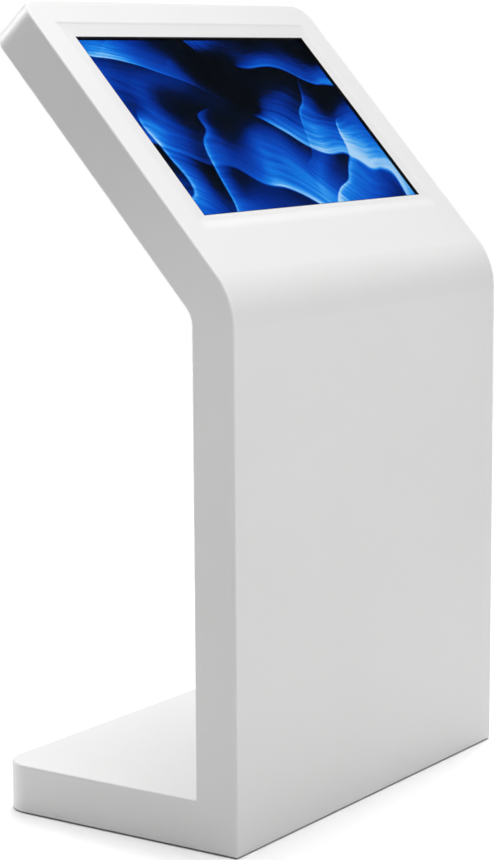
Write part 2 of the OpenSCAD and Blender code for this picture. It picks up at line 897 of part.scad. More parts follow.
module lock_plug() {
    color([0.75, 0.66, 0.4]) in_body() at_lock() difference() {
        rod_y(plug_r, -cam_d, lock_flange + 0.4);
        translate([-0.8, lock_flange - 3, -3.6]) cube([1.6, 4, 7.2]);
    }
}

module lock_cam() {
    color(steel) in_body() at_lock() union() {
        translate([-6, -cam_d - cam_t, -8]) cube([12, cam_t, cam_l + 8]);
        translate([0, -cam_d - cam_t - 2, 0]) rotate([-90, 0, 0]) cylinder(r = 4.6, h = 2.1, $fn = 6);
    }
}

module at_button() {
    translate([button_x, board_t, button_z]) children();
}

module button_housing() {
    color(steel) in_body() at_button() difference() {
        union() {
            rod_y(button_body + 2.5, 0, button_fl);
            rod_y(button_body, -26, 1);
            for (x = [-4, 3]) translate([x, -31, -3]) cube([1, 6, 6]);
        }
        rod_y(button_r + run_gap, -6.5, button_fl + 1);
    }
}

module button_nut() {
    color(steel) in_body() at_button() difference() {
        translate([0, -sheet_t - 4, 0]) rotate([-90, 0, 0]) cylinder(r = button_body + 3.5, h = 4, $fn = 6);
        rod_y(button_body + run_gap, -sheet_t - 5, 0);
    }
}

module button_cap() {
    color([0.8, 0.8, 0.82]) in_body() at_button() difference() {
        rod_y(button_r, -3.5, button_fl + 1.2);
        difference() {
            rod_y(button_r * 0.62, button_fl + 0.9, button_fl + 2);
            rod_y(button_r * 0.46, button_fl, button_fl + 2);
        }
    }
}

module at_inlet() {
    translate([inlet_x, base_d, inlet_z]) children();
}

module at_inlet_screws() {
    a = inlet_w / 2 + inlet_screw;
    at_inlet() for (x = [-a, a]) translate([x, 0, 0]) children();
}

module socket_2d() {
    polygon([[-12.2, 8.3], [12.2, 8.3], [12.2, -4.3], [8.2, -8.3], [-8.2, -8.3], [-12.2, -4.3]]);
}

module mains_inlet() {
    color(dark) in_body() difference() {
        union() {
            at_inlet() face_plate(0, inlet_lip)
                round_rect(inlet_w + 2 * inlet_ear, inlet_h + 2 * inlet_edge, 4);
            at_inlet() face_plate(-inlet_l, inlet_l + 0.5) square([inlet_w, inlet_h], center = true);
        }
        at_inlet() translate([socket_x, 0, 0]) face_plate(-socket_d, socket_d + inlet_lip + 1) socket_2d();
        at_inlet() translate([switch_x, 0, 0]) face_plate(-12, 13 + inlet_lip)
            square([rocker_w + 0.8, 20], center = true);
        at_inlet() translate([switch_x - rocker_w / 2 - 1.9, rocker_y, 0]) rotate([0, 90, 0])
            cylinder(r = 1.5 + run_gap, h = rocker_w + 3.8);
        at_inlet_screws() rod_y(inlet_screw_r + run_gap, -1, inlet_lip + 1);
        at_inlet_screws() cone_y(inlet_screw_r + run_gap, 2 * inlet_screw_r + run_gap,
            inlet_lip - inlet_screw_r, inlet_lip);
    }
}

module inlet_pins() {
    color([0.8, 0.8, 0.75]) in_body() at_inlet() translate([socket_x, 0, 0]) {
        for (x = [-7, 7]) translate([x - 1, -socket_d, -4]) cube([2, 11, 4]);
        translate([-1, -socket_d, 0.5]) cube([2, 11.5, 4]);
    }
}

module inlet_rocker() {
    w = rocker_w;
    color([0.2, 0.05, 0.05]) in_body() at_inlet() translate([switch_x, rocker_y, 0])
        rotate([rocker_rest, 0, 0]) union() {
            translate([-w / 2, 0, 0]) rotate([90, 0, 90]) linear_extrude(w)
                polygon([[-4, -9.2], [4.2, -9.2], [3, 0], [4.2, 9.2], [-4, 9.2]]);
            translate([-w / 2 - 1.6, 0, 0]) rotate([0, 90, 0]) cylinder(r = 1.5, h = w + 3.2);
        }
}

module inlet_screws() {
    color(steel) in_body() at_inlet_screws() difference() {
        union() {
            rod_y(inlet_screw_r, -8, inlet_lip - inlet_screw_r + 0.1);
            cone_y(inlet_screw_r, 2 * inlet_screw_r, inlet_lip - inlet_screw_r, inlet_lip);
        }
        translate([-2, inlet_lip - 0.7, -0.35]) cube([4, 2, 0.7]);
    }
}

module equipment_plate() {
    color(steel) in_body() at_door() face_plate(eq_y, eq_t) difference() {
        square([eq_w, eq_h], center = true);
        for (x = [-3:3]) translate([x * 60, eq_h / 2 - 30]) slot_2d(36, 6);
        for (x = [-3:3]) translate([x * 60, 30 - eq_h / 2]) slot_2d(36, 6);
    }
}

module plate_standoffs() {
    color(steel) in_body() at_door() for (x = [-1, 1], z = [-1, 1])
        translate([x * (eq_w / 2 - 15), 0, z * (eq_h / 2 - 12)]) rod_y(6, sheet_t, eq_y);
}

module mini_pc() {
    n = floor(pc_w / 10);
    color([0.2, 0.2, 0.22]) in_body() translate([pc_x, eq_face, pc_z]) difference() {
        union() {
            translate([-pc_w / 2, 0, -pc_h / 2]) cube([pc_w, pc_core, pc_h]);
            for (i = [0:n - 1]) translate([-pc_w / 2 + 3.5 + i * 10, pc_core - 1, 4 - pc_h / 2])
                cube([3, pc_t - pc_core + 1, pc_h - 8]);
        }
        for (i = [0:3]) translate([-70 + i * 24, 8, -pc_h / 2 - 1]) cube([15, 7, 9]);
    }
}

module power_supply() {
    color([0.7, 0.71, 0.72]) in_body() translate([psu_x, eq_face, psu_z]) difference() {
        translate([-psu_w / 2, 0, -psu_h / 2]) cube([psu_w, psu_t, psu_h]);
        for (i = [-4:4]) translate([0, psu_t - 3, i * 12]) rotate([-90, 0, 0])
            linear_extrude(4) slot_2d(psu_w * 0.7, 5);
    }
}

module mains_cable() {
    y0 = mains_y + mains_bend;
    z0 = inlet_z + mains_bend;
    color(dark) in_body() translate([inlet_x, 0, 0]) union() {
        translate([0, 0, inlet_z]) rod_y(mains_r, y0, base_d - inlet_l);
        translate([0, y0, z0]) rotate([0, 90, 0]) rotate([0, 0, -90]) rotate_extrude(angle = 90)
            translate([mains_bend, 0]) circle(mains_r);
        translate([0, mains_y, z0]) cylinder(r = mains_r, h = psu_z - psu_h / 2 - z0);
    }
}

module dc_cable() {
    x0 = psu_x + dc_bend;
    z0 = dc_z - dc_bend;
    top = psu_z + psu_h / 2;
    color(dark) in_body() translate([0, dc_y, 0]) union() {
        translate([psu_x, 0, top]) cylinder(r = dc_r, h = z0 - top);
        translate([x0, 0, z0]) rotate([90, 0, 0]) rotate([0, 0, 90]) rotate_extrude(angle = 90)
            translate([dc_bend, 0]) circle(dc_r);
        translate([x0, 0, dc_z]) rotate([0, 90, 0]) cylinder(r = dc_r, h = pc_x - pc_w / 2 - x0);
    }
}

module display_cable() {
    top = pc_z + pc_h / 2;
    color(dark) in_body() union() {
        translate([cable_x, cable_d, top]) cylinder(r = cable_r, h = bend_z - top);
        bend_sweep(0) translate([cable_x, cable_d]) circle(cable_r);
        head_place() translate([cable_x, cable_d, bend_tan])
            cylinder(r = cable_r, h = screen_s - connector_s - bend_tan);
        head_place() translate([cable_x, cable_d, bend_tan - 3]) cylinder(r = cable_r + 0.4, h = 6);
    }
}

module at_feet() {
    for (x = [-foot_x, foot_x], y = [foot_y0, foot_y1]) translate([x, y, 0]) children();
}

module foot_brackets() {
    w = bracket_in + bracket_t;
    color(steel) in_body() at_feet() difference() {
        translate([-w, -15, plate_t]) cube([2 * w, 30, bracket_h]);
        translate([-bracket_in, -16, plate_t - 1]) cube([2 * bracket_in, 32, bracket_h - bracket_t + 1]);
        cylinder(r = stud_r + run_gap, h = 2 * bracket_h);
    }
}

module foot() {
    color(dark) difference() {
        union() {
            translate([0, 0, -foot_gap]) cylinder(r = pad_r, h = foot_gap + plate_t - 1);
            cylinder(r = stud_r, h = plate_t + bracket_h + 16);
        }
        translate([-stud_r - 1, -0.6, plate_t + bracket_h + 13]) cube([2 * stud_r + 2, 1.2, 4]);
    }
}

module front_left_foot() {
    in_body() translate([-foot_x, foot_y0, 0]) foot();
}

module front_right_foot() {
    in_body() translate([foot_x, foot_y0, 0]) foot();
}

module rear_left_foot() {
    in_body() translate([-foot_x, foot_y1, 0]) foot();
}

module rear_right_foot() {
    in_body() translate([foot_x, foot_y1, 0]) foot();
}

front_shell();
left_side_panel();
right_side_panel();
left_head_side();
right_head_side();
head_end_cap();
base_end_cap();
column_rear_panel();
head_rear_panel();
base_top_panel();
base_plate();
left_frame();
right_frame();
frame_crossbars();
display_bezel();
glass_gasket();
touch_glass();
lcd_panel();
backlight_diffuser();
lcd_tray();
display_rails();
display_screws();
controller_board();
board_standoffs();
cover_ledge();
head_rear_cover();
cover_screws();
fan_frame();
fan_rotor();
fan_guard();
fan_screws();
service_door();
hinge_frame_leaves();
hinge_door_leaves();
hinge_pins();
hinge_frame_screws();
hinge_door_screws();
lock_barrel();
lock_nut();
lock_plug();
lock_cam();
button_housing();
button_nut();
button_cap();
mains_inlet();
inlet_pins();
inlet_rocker();
inlet_screws();
equipment_plate();
plate_standoffs();
mini_pc();
power_supply();
mains_cable();
dc_cable();
display_cable();
foot_brackets();
front_left_foot();
front_right_foot();
rear_left_foot();
rear_right_foot();
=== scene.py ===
import json
import math

import bmesh
import bpy
from mathutils import Matrix, Vector


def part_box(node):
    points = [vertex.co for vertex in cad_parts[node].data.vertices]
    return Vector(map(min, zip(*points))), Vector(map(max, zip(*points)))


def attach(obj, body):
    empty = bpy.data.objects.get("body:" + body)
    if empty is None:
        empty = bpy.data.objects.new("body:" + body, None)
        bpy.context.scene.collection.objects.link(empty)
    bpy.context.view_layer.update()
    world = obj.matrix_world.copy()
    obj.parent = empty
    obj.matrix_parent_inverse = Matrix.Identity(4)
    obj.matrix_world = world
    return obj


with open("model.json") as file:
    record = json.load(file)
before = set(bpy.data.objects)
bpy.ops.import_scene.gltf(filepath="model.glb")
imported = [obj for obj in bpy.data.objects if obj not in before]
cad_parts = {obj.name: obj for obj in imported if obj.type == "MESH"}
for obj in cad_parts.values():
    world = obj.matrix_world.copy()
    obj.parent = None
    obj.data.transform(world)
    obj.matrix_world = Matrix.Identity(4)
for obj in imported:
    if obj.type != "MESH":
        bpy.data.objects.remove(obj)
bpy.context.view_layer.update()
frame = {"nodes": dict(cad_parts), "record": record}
scene = bpy.context.scene
nodes = frame["nodes"]

# Main sizes, in metres: front face and underside from the frame, the next ones as in the CAD source
_, FRONT_Y, UNDER_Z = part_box("front_shell")[0]
TILT = math.radians(42)
COLUMN_H = 0.929
SCREEN_W, SCREEN_H, SCREEN_S = 0.698, 0.393, 0.3685


def body(x, y, z):
    """Body frame (front face y 0, underside z 0) to world."""
    return Vector((x, FRONT_Y + y, UNDER_Z + z))


def head(x, d, s):
    """Head frame (depth below the face, distance up the face) to world."""
    return body(
        x,
        s * math.sin(TILT) + d * math.cos(TILT),
        COLUMN_H + s * math.cos(TILT) - d * math.sin(TILT),
    )


# Camera, solved from the edges of the body and the screen in the photo
CAMERA_AT = (-3.62641, -2.46117, 1.31643)
CAMERA_AHEAD = (0.81618, 0.557508, -0.151774)
CAMERA_ASIDE = (0.563305, -0.826229, -0.005737)
FOCAL_PX, PHOTO_H_PX = 2433.26, 860
SENSOR_MM = 36

cam_data = bpy.data.cameras.new("camera")
cam = bpy.data.objects.new("camera", cam_data)
scene.collection.objects.link(cam)
ahead = Vector(CAMERA_AHEAD).normalized()
aside = Vector(CAMERA_ASIDE)
aside = (aside - ahead * aside.dot(ahead)).normalized()
axes = Matrix((aside, aside.cross(ahead), -ahead)).transposed()
cam.matrix_world = Matrix.Translation(CAMERA_AT) @ axes.to_4x4()
cam_data.sensor_width = SENSOR_MM
cam_data.lens = FOCAL_PX * SENSOR_MM / PHOTO_H_PX
cam_data.clip_start, cam_data.clip_end = 0.05, 200
scene.camera = cam


# Material helpers
def put(nt, socket, value):
    if isinstance(value, bpy.types.NodeSocket):
        nt.links.new(value, socket)
    else:
        socket.default_value = value


def add(nt, kind, props=None, ins=(), **named):
    n = nt.nodes.new(kind)
    for k, v in (props or {}).items():
        setattr(n, k, v)
    for i, v in enumerate(ins):
        put(nt, n.inputs[i], v)
    for k, v in named.items():
        put(nt, n.inputs[k.replace("_", " ")], v)
    return n


def math_(nt, op, *ins):
    return add(nt, "ShaderNodeMath", {"operation": op}, ins).outputs[0]


def vector_math(nt, op, *ins):
    return add(nt, "ShaderNodeVectorMath", {"operation": op}, ins)


def span(nt, value, a, b, c=0.0, d=1.0, smooth=False):
    kind = "SMOOTHSTEP" if smooth else "LINEAR"
    n = add(nt, "ShaderNodeMapRange", {"interpolation_type": kind}, (value, a, b, c, d))
    return n.outputs[0]


def noise(nt, vec, scale, detail=2.0, rough=0.5):
    return add(nt, "ShaderNodeTexNoise", Vector=vec, Scale=scale, Detail=detail, Roughness=rough)


def mix(nt, fac, a, b):
    n = add(nt, "ShaderNodeMix", {"data_type": "RGBA"})
    for socket, value in ((0, fac), (6, a), (7, b)):
        put(nt, n.inputs[socket], value)
    return n.outputs[2]


def ramp(nt, fac, stops):
    n = add(nt, "ShaderNodeValToRGB", ins=(fac,))
    e = n.color_ramp.elements
    while len(e) < len(stops):
        e.new(0.5)
    for el, (at, col) in zip(e, stops):
        el.position = at
        el.color = (*col, 1)
    return n.outputs[0]


def bump(nt, height, strength, distance):
    return add(nt, "ShaderNodeBump", Height=height, Strength=strength, Distance=distance).outputs[0]


def start(name, **sockets):
    m = bpy.data.materials.new(name)
    m.use_nodes = True
    nt = m.node_tree
    b = nt.nodes["Principled BSDF"]
    for k, v in sockets.items():
        put(nt, b.inputs[k.replace("_", " ")], v)
    co = add(nt, "ShaderNodeTexCoord").outputs["Object"]
    return m, nt, b, co


def grey(v):
    return (v, v, v)


# Materials, and two sizes in metres that only they use
PICTURE_IN = 0.0032  # black border of the panel inside the opening
PAD_TOP = 0.0081  # top of the feet's rubber pads


def white_paint(name, tone_scale=1.0):
    m, nt, b, co = start(name, Specular_IOR_Level=0.5)
    tone = noise(nt, co, 3.1, 3).outputs[0]
    low, high = [(v * tone_scale, v * tone_scale, v * tone_scale * 0.997) for v in (0.693, 0.707)]
    put(nt, b.inputs["Base Color"], ramp(nt, tone, [(0.3, low), (0.7, high)]))
    fine = noise(nt, co, 620, 2).outputs[0]
    put(nt, b.inputs["Roughness"], span(nt, fine, 0.3, 0.7, 0.33, 0.41))
    peel = noise(nt, co, 240, 2, 0.45).outputs[0]
    put(nt, b.inputs["Normal"], bump(nt, peel, 0.05, 0.0004))
    return m


def metal(name, dark, light, rough, cells=0.0, brush=None):
    m, nt, b, co = start(name, Metallic=1.0)
    if cells:
        v = add(nt, "ShaderNodeTexVoronoi", Vector=co, Scale=cells)
        tone = add(nt, "ShaderNodeSeparateColor", ins=(v.outputs["Color"],)).outputs[0]
    else:
        vec = co
        if brush:
            vec = add(nt, "ShaderNodeMapping", Vector=co, Scale=brush).outputs[0]
        tone = noise(nt, vec, 1.0 if brush else 180.0, 4, 0.6).outputs[0]
    put(nt, b.inputs["Base Color"], ramp(nt, tone, [(0.2, dark), (0.8, light)]))
    fine = noise(nt, co, 900, 3).outputs[0]
    put(nt, b.inputs["Roughness"], span(nt, fine, 0.25, 0.75, rough - 0.07, rough + 0.07))
    put(nt, b.inputs["Normal"], bump(nt, math_(nt, "ADD", tone, fine), 0.05, 0.0002))
    return m


def plastic(name, dark, light, rough, grain=900.0, bumpy=0.12, spec=0.45):
    m, nt, b, co = start(name, Specular_IOR_Level=spec)
    n = noise(nt, co, grain, 3, 0.6).outputs[0]
    wide = noise(nt, co, 14, 2).outputs[0]
    both = math_(nt, "MULTIPLY_ADD", wide, 0.6, math_(nt, "MULTIPLY", n, 0.4))
    put(nt, b.inputs["Base Color"], ramp(nt, both, [(0.3, dark), (0.7, light)]))
    put(nt, b.inputs["Roughness"], span(nt, n, 0.3, 0.7, rough - 0.06, rough + 0.06))
    put(nt, b.inputs["Normal"], bump(nt, n, bumpy, 0.0003))
    return m


def glass():
    m, nt, b, co = start(
        "clear_glass",
        Base_Color=(0.985, 0.995, 1.0, 1),
        Transmission_Weight=1.0,
        IOR=1.45,
        Specular_IOR_Level=0.1,
    )
    smear = noise(nt, co, 16, 4, 0.6).outputs[0]
    put(nt, b.inputs["Roughness"], span(nt, smear, 0.4, 0.8, 0.0, 0.02))
    return m


def on_screen(nt, co):
    """Coordinates in the plane of the screen: x right, y up the face, from its middle."""
    shift = vector_math(nt, "SUBTRACT", co, head(0, 0, SCREEN_S)).outputs[0]
    axis = (0, math.sin(TILT), math.cos(TILT))
    rise = vector_math(nt, "DOT_PRODUCT", shift, axis).outputs["Value"]
    x = add(nt, "ShaderNodeSeparateXYZ", ins=(shift,)).outputs[0]
    return add(nt, "ShaderNodeCombineXYZ", ins=(x, rise, 0.0)).outputs[0], x, rise


def screen_picture():
    """A made-up picture: veils of blue light on black, drawn by folded and warped noise."""
    m, nt, b, co = start(
        "screen_picture",
        Base_Color=(0.003, 0.003, 0.004, 1),
        Roughness=0.5,
        Specular_IOR_Level=0.0,
        Emission_Strength=1.12,
    )
    p, x, rise = on_screen(nt, co)

    def moved(v, seed):
        return vector_math(nt, "ADD", v, seed).outputs[0]

    def warp(v, scale, amount, seed):
        c = noise(nt, moved(v, seed), scale, 1).outputs[1]
        off = vector_math(nt, "SUBTRACT", c, (0.5, 0.5, 0.5)).outputs[0]
        return vector_math(nt, "MULTIPLY_ADD", off, (amount, amount, 0.0), v).outputs[0]

    def along(v, angle, count):
        a = math.radians(angle)
        n = vector_math(nt, "DOT_PRODUCT", v, (math.cos(a), math.sin(a), 0))
        return math_(nt, "MULTIPLY", n.outputs["Value"], count)

    def veil(v, angle, count, fade, seed, low, high):
        """Folds that start at a bright edge and fade away, shown where a wide noise allows."""
        t = along(v, angle, count)
        f = math_(nt, "FRACT", t)
        g = math_(nt, "POWER", math_(nt, "SUBTRACT", 1.0, f), fade)
        g = math_(nt, "MULTIPLY", g, span(nt, f, 0.0, 0.035, smooth=True))
        edge = span(nt, f, 0.02, 0.12, 1.0, 0.0, True)
        edge = math_(nt, "MULTIPLY", edge, span(nt, f, 0.0, 0.03, smooth=True))
        where = span(nt, noise(nt, moved(v, seed), 3.6, 1).outputs[0], low, high, smooth=True)
        return math_(nt, "MULTIPLY", g, where), math_(nt, "MULTIPLY", edge, where), t

    wide = warp(p, 2.3, 0.5, (3.0, 1.7, 0.4))
    curl = warp(wide, 6.5, 0.11, (7.1, 0.3, 2.2))
    big, big_edge, t = veil(curl, 64, 5.4, 1.5, (1.3, 5.2, 0.0), 0.36, 0.6)
    other = warp(warp(p, 2.9, 0.45, (9.4, 2.6, 1.1)), 8.0, 0.08, (0.6, 8.8, 3.0))
    small, small_edge, _ = veil(other, -38, 8.5, 1.9, (6.2, 0.9, 4.0), 0.46, 0.66)
    across = math_(nt, "MULTIPLY", t, 9.0)
    strands = add(nt, "ShaderNodeCombineXYZ", ins=(across, along(curl, 154, 3.0), 0.0)).outputs[0]
    thread = span(nt, noise(nt, strands, 2.0, 4, 0.6).outputs[0], 0.3, 0.7, 0.62, 1.2)
    light = math_(nt, "MULTIPLY_ADD", small, 0.5, math_(nt, "MULTIPLY", big, 0.72))
    light = math_(nt, "MULTIPLY", light, thread)
    glow = math_(nt, "MULTIPLY_ADD", small_edge, 0.22, math_(nt, "MULTIPLY", big_edge, 0.2))
    light = math_(nt, "ADD", light, glow)
    haze = span(nt, noise(nt, wide, 2.6, 2).outputs[0], 0.42, 0.8, 0.0, 0.3)
    light = math_(nt, "ADD", light, haze)
    spot = noise(nt, moved(wide, (4.4, 4.4, 0)), 4.2, 1).outputs[0]
    light = math_(nt, "MULTIPLY", light, span(nt, spot, 0.3, 0.75, 0.72, 1.25))
    colour = ramp(
        nt,
        light,
        [
            (0.0, (0.0, 0.001, 0.003)),
            (0.06, (0.0, 0.0025, 0.009)),
            (0.11, (0.0, 0.005, 0.038)),
            (0.21, (0.0, 0.027, 0.3)),
            (0.39, (0.002, 0.083, 0.6)),
            (0.61, (0.007, 0.22, 0.83)),
            (0.78, (0.07, 0.41, 0.93)),
            (1.0, (0.42, 0.7, 1.0)),
        ],
    )
    inside = math_(
        nt,
        "MULTIPLY",
        math_(nt, "LESS_THAN", math_(nt, "ABSOLUTE", x), SCREEN_W / 2 - PICTURE_IN),
        math_(nt, "LESS_THAN", math_(nt, "ABSOLUTE", rise), SCREEN_H / 2 - PICTURE_IN),
    )
    put(nt, b.inputs["Emission Color"], mix(nt, inside, (0, 0, 0, 1), colour))
    return m


def green_board():
    m, nt, b, co = start("green_board", Specular_IOR_Level=0.5)
    v = add(nt, "ShaderNodeTexBrick", Vector=co, Scale=90.0)
    for k, c in (("Color1", 0.05), ("Color2", 0.075), ("Mortar", 0.16)):
        put(nt, v.inputs[k], (c * 0.5, c * 2.4, c, 1))
    put(nt, b.inputs["Base Color"], v.outputs["Color"])
    n = noise(nt, co, 500, 2).outputs[0]
    put(nt, b.inputs["Roughness"], span(nt, n, 0.3, 0.7, 0.35, 0.5))
    return m


def foot_material():
    """Black rubber pad below, plated stud above."""
    m, nt, b, co = start("foot_rubber_steel")
    z = add(nt, "ShaderNodeSeparateXYZ", ins=(co,)).outputs[2]
    stud = math_(nt, "GREATER_THAN", z, PAD_TOP)
    n = noise(nt, co, 700, 3).outputs[0]
    rubber = ramp(nt, n, [(0.3, grey(0.012)), (0.7, grey(0.028))])
    steel = ramp(nt, n, [(0.3, grey(0.5)), (0.7, grey(0.62))])
    put(nt, b.inputs["Base Color"], mix(nt, stud, rubber, steel))
    put(nt, b.inputs["Metallic"], stud)
    put(nt, b.inputs["Roughness"], span(nt, stud, 0, 1, 0.75, 0.32))
    return m


def floor_material():
    m, nt, b, co = start("floor", Roughness=0.9, Specular_IOR_Level=0.2)
    tone = noise(nt, co, 0.7, 2).outputs[0]
    put(nt, b.inputs["Base Color"], ramp(nt, tone, [(0.3, grey(0.955)), (0.7, grey(0.965))]))
    return m


MATERIALS = {
    "white_paint": white_paint("white_paint"),
    "zinc_steel": metal("zinc_steel", grey(0.5), (0.58, 0.588, 0.595), 0.42, cells=130.0),
    "plated_screw": metal("plated_screw", grey(0.55), grey(0.68), 0.28),
    "hinge_steel": metal("hinge_steel", grey(0.5), (0.62, 0.63, 0.64), 0.3, brush=(40, 40, 900)),
    "black_rubber": plastic("black_rubber", grey(0.008), grey(0.016), 0.7, 700.0, 0.1, 0.3),
    "clear_glass": glass(),
    "screen_black": screen_picture(),
    "white_plastic": plastic("white_plastic", grey(0.78), grey(0.84), 0.55),
    "aluminium_case": metal("aluminium_case", grey(0.58), grey(0.68), 0.38, brush=(900, 40, 40)),
    "dark_aluminium": metal("dark_aluminium", grey(0.045), grey(0.075), 0.42),
    "green_board": green_board(),
    "brass": metal("brass", (0.55, 0.4, 0.16), (0.72, 0.55, 0.25), 0.3, brush=(60, 60, 800)),
    "black_plastic": plastic("black_plastic", grey(0.014), grey(0.03), 0.5),
    "red_plastic": plastic("red_plastic", (0.32, 0.012, 0.012), (0.42, 0.02, 0.02), 0.25, 900.0, 0.05),
    "cable_black": plastic("cable_black", grey(0.012), grey(0.024), 0.55, 500.0),
}
# The bezel is drawn 3.5 % darker than the head face, evenly all round the screen
SPECIAL = {"display_bezel": white_paint("bezel_paint", 0.965)}
SPECIAL.update(dict.fromkeys([n for n in nodes if n.endswith("_foot")], foot_material()))
for part in frame["record"]["subparts"]:
    o = nodes[part["node"]]
    o.data.materials.clear()
    o.data.materials.append(SPECIAL.get(part["node"]) or MATERIALS[part["material_slot"]])

# Small fittings, made in mesh code. From here to the floor, lengths are in millimetres
MM = 0.001
AX, AY, AZ = Vector((1, 0, 0)), Vector((0, 1, 0)), Vector((0, 0, 1))
CREASE = math.radians(35)
EDGE_R = 0.6


def finish_piece(name, bm, slot, carrier="kiosk"):
    bmesh.ops.recalc_face_normals(bm, faces=bm.faces[:])
    me = bpy.data.meshes.new(name)
    bm.to_mesh(me)
    bm.free()
    for poly in me.polygons:
        poly.use_smooth = True
    me.set_sharp_from_angle(angle=CREASE)
    me.materials.append(MATERIALS[slot])
    o = bpy.data.objects.new(name, me)
    scene.collection.objects.link(o)
    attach(o, carrier)


def in_body(x, y, z):
    """Body frame in millimetres to world."""
    return body(x * MM, y * MM, z * MM)


def skin(bm, loops):
    """Quads between each loop of points and the next."""
    for low, high in zip(loops, loops[1:]):
        for i in range(len(low)):
            j = (i + 1) % len(low)
            bm.faces.new((low[i], low[j], high[j], high[i]))


def loft(bm, loops):
    """Skin over the loops, closed at both ends."""
    skin(bm, loops)
    bm.faces.new(loops[0])
    bm.faces.new(loops[-1])


def block(bm, corner, opposite, soft=EDGE_R):
    """Box between two corners, with rounded edges."""
    lo = in_body(*map(min, corner, opposite))
    hi = in_body(*map(max, corner, opposite))
    verts = bmesh.ops.create_cube(bm, size=1)["verts"]
    for v in verts:
        v.co = [lo[i] + (hi[i] - lo[i]) * (v.co[i] + 0.5) for i in range(3)]
    edges = list({e for v in verts for e in v.link_edges})
    bmesh.ops.bevel(bm, geom=edges, offset=soft * MM, segments=2, affect="EDGES", profile=0.5)


def turned(bm, at, axis, rows, sides=24):
    """Turned shape: rows of (height, radius), or (height, radius, 6) for a hexagon."""
    side = axis.orthogonal().normalized()
    other = axis.cross(side)
    base = in_body(*at)
    loops = []
    for height, radius, *corners in rows:
        loop = []
        for i in range(sides):
            t = 2 * math.pi * i / sides
            r = radius
            if corners:
                step = 2 * math.pi / corners[0]
                r = radius * math.cos(step / 2) / math.cos(t % step - step / 2)
            out = side * math.cos(t) + other * math.sin(t)
            loop.append(bm.verts.new(base + (axis * height + out * r) * MM))
        loops.append(loop)
    loft(bm, loops)


def screw(bm, at, r):
    """Button head of radius r with a hexagon socket, facing the back and sunk a little."""
    rows = [(-0.3, r), (0.25 * r, r), (0.42 * r, 0.93 * r), (0.55 * r, 0.78 * r), (0.6 * r, 0.62 * r)]
    socket = [(0.6 * r, 0.5 * r, 6), (0.2 * r, 0.5 * r, 6)]
    turned(bm, at, AY, rows + socket)


def strap(bm, path, thick, z0, z1):
    """Flat strip of sheet that follows a path in the plan, from height z0 to z1."""
    pts = [Vector(p) for p in path]
    loops = []
    for i, p in enumerate(pts):
        d = (pts[min(i + 1, len(pts) - 1)] - pts[max(i - 1, 0)]).normalized()
        n = Vector((-d.y, d.x)) * thick / 2
        section = ((p - n, z0), (p + n, z0), (p + n, z1), (p - n, z1))
        loops.append([bm.verts.new(in_body(q.x, q.y, z)) for q, z in section])
    loft(bm, loops)


# Painted filler in the seam round the bezel: a soft slope from the head face down to the bezel.
# Points are given by their distance in from the edge of the opening and their depth below the face
BEZEL_BORDER, BEZEL_STEP, BEZEL_DISH = 32, 0.8, 1.2  # as in the CAD source
OPENING_HALF = (SCREEN_W / 2 / MM + BEZEL_BORDER, SCREEN_H / 2 / MM + BEZEL_BORDER)
RIM_IN, RIM_D = -1.25, 0.01  # the rim lies on the face, outside the opening
SLOPE_RUN = (25.0, 8.6, 5.0, 6.5)  # how far the slope runs in: below, right, above, left
SLOPE_STEPS = 8
TUCK = 0.11  # how far the inner edge goes down into the bezel
UNDERSIDE = ((0.2, 1.05), (-0.2, 0.75), (RIM_IN, 0.05))  # rows that lead back to the rim
CORNER_STEPS = (0, 4, 10, 18, 26)  # distances of the points from each corner


def ring(below, right, above, left):
    """Points round the opening at these distances in, each with its distance from the nearest edge."""
    points = []
    corners = ((-1, -1, left, below), (1, -1, right, below), (1, 1, right, above), (-1, 1, left, above))
    for sx, sz, in_x, in_z in corners:
        x, z = sx * (OPENING_HALF[0] - in_x), sz * (OPENING_HALF[1] - in_z)
        turn = [(x, z - sz * a, min(in_x, in_z + a)) for a in reversed(CORNER_STEPS)]
        turn += [(x - sx * a, z, min(in_x + a, in_z)) for a in CORNER_STEPS[1:]]
        points += turn if sx == sz else reversed(turn)
    return points


def bezel_filler():
    inner_ring = ring(*SLOPE_RUN)
    dish = [BEZEL_STEP + BEZEL_DISH / BEZEL_BORDER * inward for _, _, inward in inner_ring]
    rows = []
    for n in range(SLOPE_STEPS + 1):
        k = n / SLOPE_STEPS
        ease = k * k * (3 - 2 * k)
        points = ring(*(RIM_IN + (run - RIM_IN) * k for run in SLOPE_RUN))
        rows.append((points, [RIM_D + (d - RIM_D) * ease for d in dish]))
    rows.append((inner_ring, [d + TUCK for d in dish]))
    for inward, depth in UNDERSIDE:
        rows.append((ring(*[inward] * 4), [depth] * len(dish)))
    bm = bmesh.new()
    loops = []
    for points, depths in rows:
        places = [head(x * MM, d * MM, SCREEN_S + z * MM) for (x, z, _), d in zip(points, depths)]
        loops.append([bm.verts.new(p) for p in places])
    skin(bm, loops + loops[:1])
    finish_piece("bezel_filler", bm, "white_paint")


def place(node):
    """Middle and half size of a CAD node's box."""
    lo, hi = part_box(node)
    return ((lo + hi) / 2 - body(0, 0, 0)) / MM, (hi - lo) / 2 / MM


# Places in the service bay, from the frame. The cables' axes are as in the CAD source
PLATE, PLATE_HALF = place("equipment_plate")
PC, PC_HALF = place("mini_pc")
SUPPLY, SUPPLY_HALF = place("power_supply")
PLATE_Y = PLATE.y + PLATE_HALF.y
VIDEO_X, VIDEO_Y = 100, 35.2
DC_Y, DC_Z = 30, 415
MAINS_Y = 32

# Fixings of the equipment plate, the computer and the supply
CORNERS = ((-1, -1), (-1, 1), (1, -1), (1, 1))
PLATE_SCREW_R, PLATE_SCREW_IN_X, PLATE_SCREW_IN_Z = 5, 15, 12
FIXING_T, FIXING_REACH, FIXING_SCREW_R = 2.5, 18, 4
BRACKET_Z, BRACKET_HALF, BRACKET_H = 60, 12, 20
TAB_X, TAB_HALF = 36, 11


